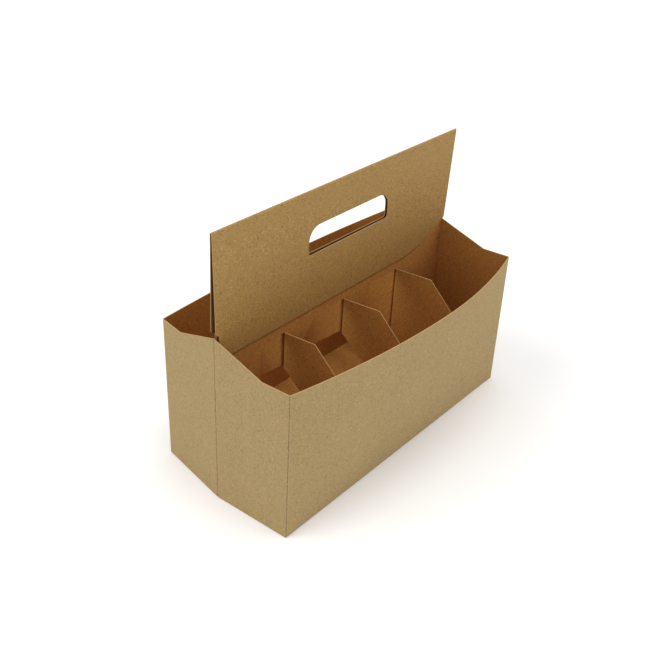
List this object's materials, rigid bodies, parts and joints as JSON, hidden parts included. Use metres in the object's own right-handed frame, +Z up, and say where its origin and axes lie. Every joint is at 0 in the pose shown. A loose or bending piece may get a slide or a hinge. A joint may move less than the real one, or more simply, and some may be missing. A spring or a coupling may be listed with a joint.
{
  "type": "bottle carrier box",
  "caption": "Open folded kraft board carrier for bottles: two rows of cells with strap dividers on either side of a tall riser with a hand hole.",
  "frame": {"origin": "on the underside of the floor panel, below the middle of the riser: halfway between the two end creases, on the riser's middle plane", "axes": "+X along the riser to the end whose crease is drawn in, +Y from the riser to the rear long wall, +Z up"},
  "size_m": [0.267, 0.1442, 0.2139],
  "materials": {
    "kraft_board": "matte, uncoated"
  },
  "bodies": {
    "root": {"outer_wrap": "kraft_board", "front_partition": "kraft_board", "rear_partition": "kraft_board", "handle_cover": "kraft_board"}
  },
  "joints": []
}
